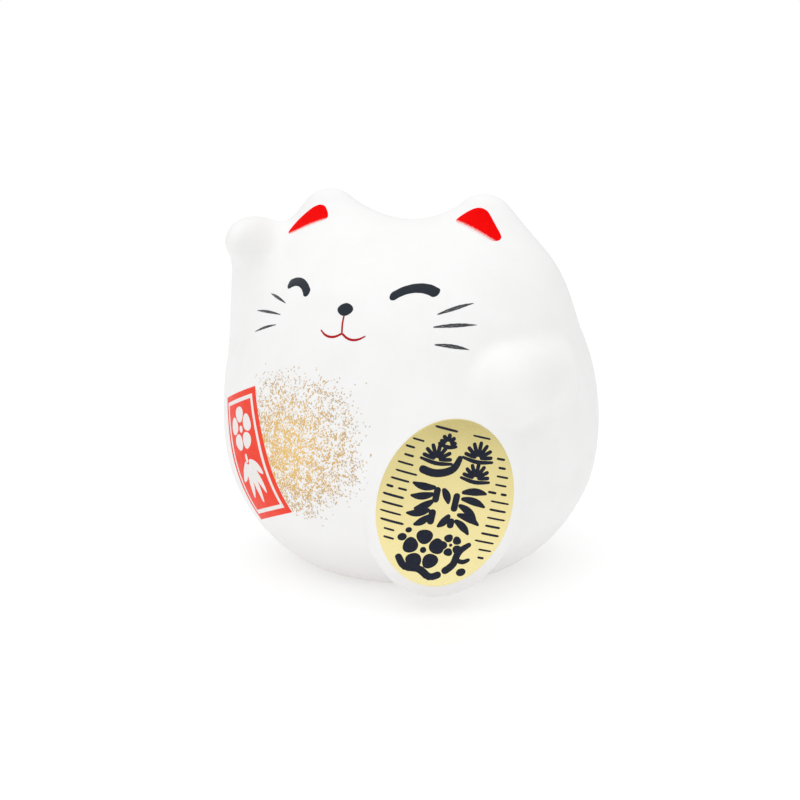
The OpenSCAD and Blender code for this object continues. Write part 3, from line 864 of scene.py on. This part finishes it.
def make_coin():
    foil = Layer(COIN, SUNK, 0.14)
    patch(foil, oval((0, 0), LABEL_HALF_W, LABEL_HALF_L, 160), rings=26, edge=0.2)
    foil.build("koban_foil", gold_foil("koban_label"), "gold_foil", "koban_label")

    ink = print_ink("coin_ink_film", (0.008, 0.011, 0.022), (0.016, 0.02, 0.036), 0.45)
    emblem = Layer(COIN, PRINT_LOW, 0.2)
    for motif in (pine, bamboo, plum):
        motif(emblem)
    emblem.build("koban_three_friends", ink, "coin_ink", "koban_emblem")

    draw = np.random.default_rng(7)
    dashes = Layer(COIN, PRINT_LOW, 0.19)
    rows, pitch, width, shortest, slant = 18, 1.86, 0.7, 1.8, -0.03
    for i in range(rows):
        v = (i - (rows - 1) / 2) * pitch + 0.25
        rim = LABEL_HALF_W * math.sqrt(1 - (v / LABEL_HALF_L) ** 2)
        between = min(abs(v - 4.9), abs(v + 6.3)) < 0.5
        for side in (-1, 1):
            outer = rim - draw.uniform(0.6, 1.7)
            inner = draw.uniform(8.9, 9.6)
            if abs(v) > 15.8:
                inner = draw.uniform(0.8, 2.0)
            elif v > 12 or between:
                inner -= 1.3
            if outer - inner < shortest:
                continue
            cuts = [(inner, outer)]
            if outer - inner > 2.6 * shortest and draw.random() < 0.4:
                split = inner + (outer - inner) * draw.uniform(0.42, 0.58)
                cuts = [(inner, split - 0.35), (split + 0.35, outer)]
            for a, b in cuts:
                ends = [(u, v + slant * u) for u in (side * a, side * b)]
                brush(dashes, ends, width * draw.uniform(0.85, 1.15), 0.9, 0.9, rows=10, across=5)
    dashes.build("koban_dashes", ink, "coin_ink", "koban_hatching")


def make_tag():
    red = print_ink("vermilion_film", (0.86, 0.045, 0.018), (0.93, 0.06, 0.028), 0.42,
                    mottle_mm=2.0)
    white = print_ink("white_film", (0.83, 0.8, 0.78), (0.88, 0.86, 0.84), 0.5)
    ground = Layer(TAG, SUNK, 0.1)
    columns, rows = 22, 36
    u = np.linspace(-TAG_W / 2, TAG_W / 2, columns + 1)
    v = np.linspace(-TAG_L / 2, TAG_L / 2, rows + 1)
    flat = np.array([(x, y) for y in v for x in u])
    k, m = columns + 1, rows + 1
    faces = [(i * k + j, i * k + j + 1, (i + 1) * k + j + 1, (i + 1) * k + j)
             for i in range(rows) for j in range(columns)]
    rim = list(range(k)) + [i * k + k - 1 for i in range(1, m)]
    rim += [(m - 1) * k + j for j in range(k - 2, -1, -1)] + [i * k for i in range(m - 2, 0, -1)]
    inset = np.minimum(TAG_W / 2 - np.abs(flat[:, 0]), TAG_L / 2 - np.abs(flat[:, 1]))
    ground.add(flat, np.where(inset < 0.05, 0.55, 1.0), faces, [rim])
    ground.build("fortune_tag_ground", red, "vermilion_transfer", "fortune_tag")

    margin, line, per_side = 1.4, 0.9, 30
    frame_line = Layer(TAG, PRINT_LOW, 0.14)
    loops = []
    for inset in (margin + line, margin + 0.85 * line, margin + 0.15 * line, margin):
        w, h = TAG_W / 2 - inset, TAG_L / 2 - inset
        corners = [(-w, -h), (w, -h), (w, h), (-w, h), (-w, -h)]
        loops += [np.array(a) + (np.array(b) - np.array(a)) * t / per_side
                  for a, b in zip(corners, corners[1:]) for t in range(per_side)]
    n = 4 * per_side
    height = np.repeat([0.75, 1.0, 1.0, 0.75], n)
    faces = [(i * n + j, (i + 1) * n + j, (i + 1) * n + (j + 1) % n, i * n + (j + 1) % n)
             for i in range(3) for j in range(n)]
    outer = [3 * n + j for j in range(n)]
    inner = list(range(n - 1, -1, -1))
    frame_line.add(loops, height, faces, [outer, inner])
    frame_line.build("fortune_tag_line", white, "white_print", "tag_frame")

    emblem = Layer(TAG, PRINT_LOW, 0.15)
    blossom(emblem, (0, 6.2), 5.6, 0, gap=0.1)
    for tip in ((-5.3, -5.6), (-3.3, -9.7), (0.3, -11.2), (3.7, -9.3), (5.4, -5.0)):
        root = np.array([0.1, -0.6]) + 0.12 * np.array(tip)
        leaf(emblem, root, tip, 2.6)
    brush(emblem, [(0.1, 0.6), (0.05, -1.8)], 1.3, 0.8, 0.8, rows=12)
    emblem.build("fortune_tag_motif", white, "white_print", "tag_emblem")


def arch(start, end, bow):
    """Four points of a brush line from start to end that bows sideways."""
    a, b = np.array(start, float), np.array(end, float)
    side = np.array([a[1] - b[1], b[0] - a[0]]) / np.linalg.norm(b - a)
    return [a + (b - a) * t + side * bow * 4 * t * (1 - t) for t in (0, 0.25, 0.5, 0.75, 1)]


def make_face():
    navy = brush_paint("brush_navy", (0.014, 0.02, 0.03), (0.024, 0.03, 0.042),
                       (0.035, 0.042, 0.055))
    eyes = (("right_eye", (-18.7, 69.5), (-10.7, 68.5), 1.6, 1.3, 1.3),
            ("left_eye", (9.3, 69.1), (18.5, 69.8), 1.8, 1.02, 0.9))
    for name, a, b, width, start, end in eyes:
        eye = Layer(FACE, SUNK, 0.09)
        brush(eye, arch(a, b, 1.6), width, start, end, rows=44, across=9, rough=0.012)
        eye.build(name + "_arc", navy, "brush_black", name + "_line")

    nose = Layer(FACE, SUNK, 0.11)
    shield = [(0.25, 65.25), (1.2, 65.5), (1.9, 66.05), (2.1, 66.7), (1.5, 67.4),
              (0.25, 67.8), (-1.0, 67.4), (-1.6, 66.7), (-1.4, 66.05), (-0.7, 65.5)]
    patch(nose, smooth_path(shield, 48, closed=True), rings=8, edge=0.6)
    nose.build("nose_patch", navy, "brush_black", "nose_spot")

    red = brush_paint("mouth_enamel", (0.36, 0.006, 0.01), (0.5, 0.01, 0.014),
                      (0.55, 0.08, 0.08), 0.66)
    mouth = Layer(FACE, SUNK, 0.06)
    parting = (0.8, 61.7)
    brush(mouth, [(0.35, 65.3), (0.45, 63.6), (0.78, 61.76)], 0.42, 0.9, 0.9, rows=26)
    brush(mouth, arch((-4.6, 62.1), parting, -1.05), 0.5, 0.55, 0.9, rows=30)
    brush(mouth, arch((0.83, 61.73), (6.3, 61.5), -1.05), 0.5, 0.9, 0.55, rows=30)
    mouth.build("mouth_brush_line", red, "mouth_red", "mouth_line")

    grey = brush_paint("whisker_brush", (0.04, 0.042, 0.048), (0.085, 0.087, 0.093),
                       (0.45, 0.45, 0.45), 0.57)
    right = (((-24.1, 67), (-16.9, 66.2), 0.2), ((-27.5, 62.9), (-17.4, 63.8), 0.25),
             ((-25.2, 58.9), (-18, 61.6), 0.2))
    left = (((19.6, 65.9), (25.3, 67.7), 0.15), ((19.5, 63.4), (27.1, 63.4), 0.2),
            ((20.5, 59.9), (26.9, 58.6), 0.2))
    whiskers = (("right", 0.56, 0.15, 0.25, right), ("left", 0.8, 0.3, 0.1, left))
    for name, width, start, end, lines in whiskers:
        layer = Layer(FACE, SUNK, 0.05)
        for a, b, bow in lines:
            brush(layer, arch(a, b, bow), width, start, end, rows=34, rough=0.06)
        layer.build(name + "_whisker_lines", grey, "whisker_grey", name + "_whiskers")


def make_ears():
    enamel = ear_enamel()
    outlines = {"right": [(-25.4, -5.4), (-23.6, -4.7), (-20.9, -3.7), (-18.3, -2.4), (-16.9, -1.2),
                          (-16.9, 0), (-17.8, 1.6), (-18.7, 2.5), (-20, 2.7), (-21.6, 2),
                          (-23.3, 0.6), (-25.1, -1.4), (-26, -3.7), (-26.1, -5)],
                "left": [(15.9, -0.3), (19, -1.8), (21.9, -3), (23.8, -3.6), (25.3, -3.5),
                         (26.1, -2.8), (26, -1.6), (24.2, 0.8), (22.5, 3), (21.5, 3.9),
                         (20, 4.3), (18.4, 3.9), (16.5, 2.6), (15.1, 0.8)]}
    lower_edges = {"right": ((-25.6, -5.6), (-16.9, -1.7)), "left": ((15.2, 0.1), (24.6, -3.8))}
    for side, outline in outlines.items():
        a, b = (np.array(p) for p in lower_edges[side])
        along = (b - a) / np.linalg.norm(b - a)

        def depth(flat, a=a, along=along):
            """How far each point is above the ear's lower edge."""
            q = flat - a
            above = along[0] * q[:, 1] - along[1] * q[:, 0]
            return np.stack([q @ along, np.zeros(len(q)), above], axis=1)

        layer = Layer(EAR_FRONT, SUNK, 0.07)
        patch(layer, smooth_path(outline, 72, closed=True), rings=16, edge=0.7, marks=depth)
        layer.build(side + "_ear_red", enamel, "ear_red", side + "_ear_enamel")


def beside_tag(spot, out):
    """Whether a point in front of the chest lands on the clay beside the tag, and not under it."""
    spot = spot - TAG[0]
    spot = spot - out * (spot @ TAG[1] - TAG_DISTANCE) / (TAG[1] @ out)
    clear = 0.3
    return abs(spot @ TAG[2]) >= TAG_W / 2 + clear or abs(spot @ TAG[3]) >= TAG_L / 2 + clear


def make_spatter():
    """Gold flecks on the chest, thickest beside the tag and thinning out in a ragged round."""
    draw = np.random.default_rng(11)
    where = chart((0, 0, SPATTER_Z), SPATTER_TURN)
    centre, out, right, up = where
    core, spread, stray_r, throw = np.array([-5.0, -4.0]), 7.5, 18, 18.5
    layer = Layer(where, -0.08, 0.05)
    sides = 6
    corners = np.linspace(0, 2 * math.pi, sides, endpoint=False)
    faces = [(0, 1 + j, 1 + (j + 1) % sides) for j in range(sides)]
    rim = list(range(1, sides + 1))
    count = 0
    while count < FLECKS:
        x, y = at = draw.uniform(-throw, throw, 2)
        far = np.linalg.norm(at)
        near = math.exp(-np.sum((at - core) ** 2) / (2 * spread**2))
        edge = SPATTER_R - 1.2 * math.sin(5 * math.atan2(y, x))
        fade = 1 / (1 + math.exp((far - edge) / 0.9))
        clump = 0.62 + 0.38 * math.sin(1.1 * x + 0.6 * y) * math.sin(0.9 * y - 0.7 * x + 1)
        if draw.random() > (0.34 + 0.66 * near) * fade * clump + 0.01 * (far < stray_r):
            continue
        if not beside_tag(centre + x * right + y * up + START_OUT * out, out):
            continue
        big = draw.random() < 0.05 + 0.1 * near
        length = draw.uniform(0.6, 1.15) if big else draw.uniform(0.24, 0.66)
        width = draw.uniform(0.24, 0.4) if big else draw.uniform(0.13, 0.25)
        bend = draw.uniform(-0.3, 0.3) * length
        u = length / 2 * np.cos(corners)
        v = width / 2 * np.sin(corners) + bend * (2 * u / length) ** 2
        wobble = 1 + draw.uniform(-0.18, 0.18, sides)
        fleck = np.vstack([[0, 0], np.stack([u * wobble, v * wobble], axis=1)])
        fleck = at + turned(fleck, draw.normal(62, 50))
        shade = np.clip(0.9 * far / SPATTER_R - 0.35 * near + draw.normal(0.08, 0.18), 0, 1)
        marks = np.tile([0, 0, shade], (sides + 1, 1))
        layer.add(fleck, [1.0] + [0.5] * sides, faces, [rim], marks)
        count += 1
    layer.build("gold_spatter", gold_dust(), "gold_foil")


# ---------------------------------------------------------------- floor, light and camera
def make_stage():
    """A wide sheet of pale studio paper, which glows a little so that it stays white."""
    paper = Surface("studio_paper", roughness=0.9)
    tone = paper.ramp(paper.noise(60), (0.0, (0.56, 0.56, 0.56)), (1.0, (0.6, 0.6, 0.6)))
    paper.to("Base Color", tone)
    paper.shader.inputs["Emission Color"].default_value = (1, 1, 1, 1)
    paper.shader.inputs["Emission Strength"].default_value = FLOOR_GLOW
    paper.bumps((paper.noise(0.8), 0.01))
    mesh = bpy.data.meshes.new("floor")
    half = 3.0
    corners = [(-half, -half, 0), (half, -half, 0), (half, half, 0), (-half, half, 0)]
    mesh.from_pydata(corners, [], [(0, 1, 2, 3)])
    mesh.materials.append(paper.material)
    floor = bpy.data.objects.new("floor", mesh)
    bpy.context.scene.collection.objects.link(floor)


def outward(turn, rise):
    """Unit vector from the cat, the given degrees round from its front and up."""
    a, e = math.radians(turn), math.radians(rise)
    return Vector((math.sin(a) * math.cos(e), -math.cos(a) * math.cos(e), math.sin(e)))


def face_back(thing, back):
    """Turns a lamp or camera so that it looks against the given direction."""
    thing.rotation_mode = "QUATERNION"
    thing.rotation_quaternion = (-back).to_track_quat("-Z", "Y")


def soft_sun(name, turn, rise, spread, strength):
    """A very wide, even light from a direction given in degrees."""
    data = bpy.data.lights.new(name, "SUN")
    data.angle = math.radians(spread)
    data.energy = strength
    lamp = bpy.data.objects.new(name, data)
    bpy.context.scene.collection.objects.link(lamp)
    face_back(lamp, outward(turn, rise))


def make_light():
    """Two wide lamps in an evenly lit room that looks pure white to the camera."""
    scene = bpy.context.scene
    scene.view_settings.view_transform = "Standard"
    world = bpy.data.worlds.new("white_room")
    scene.world = world
    world.use_nodes = True
    tree = world.node_tree
    seen = tree.nodes["Background"]
    seen.inputs["Strength"].default_value = 1.0
    seen.inputs["Color"].default_value = (1, 1, 1, 1)
    lighting = tree.nodes.new("ShaderNodeBackground")
    lighting.inputs["Strength"].default_value = ROOM_LIGHT
    lighting.inputs["Color"].default_value = (1, 1, 1, 1)
    choose = tree.nodes.new("ShaderNodeMixShader")
    path = tree.nodes.new("ShaderNodeLightPath")
    tree.links.new(path.outputs["Is Camera Ray"], choose.inputs["Fac"])
    tree.links.new(lighting.outputs["Background"], choose.inputs[1])
    tree.links.new(seen.outputs["Background"], choose.inputs[2])
    tree.links.new(choose.outputs["Shader"], tree.nodes["World Output"].inputs["Surface"])
    soft_sun("overhead", 0, 85, 100, 1.26)
    soft_sun("front_left", -12, 35, 80, 0.22)


def make_camera():
    """The camera looks down a little on the cat from its left front."""
    back, right = outward(VIEW_TURN, VIEW_RISE), Vector(side_dir(VIEW_TURN))
    aim = Vector((0, 0, VIEW_AIM_Z)) - right * VIEW_LEFT - back.cross(right) * VIEW_DOWN
    data = bpy.data.cameras.new("camera")
    data.lens = VIEW_LENS
    data.sensor_width = 36
    data.clip_start, data.clip_end = 0.01, 20
    camera = bpy.data.objects.new("camera", data)
    bpy.context.scene.collection.objects.link(camera)
    camera.location = aim + back * VIEW_DISTANCE
    face_back(camera, back)
    bpy.context.scene.camera = camera


make_camera()
make_light()
make_stage()
make_body()
make_stopper()
make_coin()
make_tag()
make_face()
make_ears()
make_spatter()
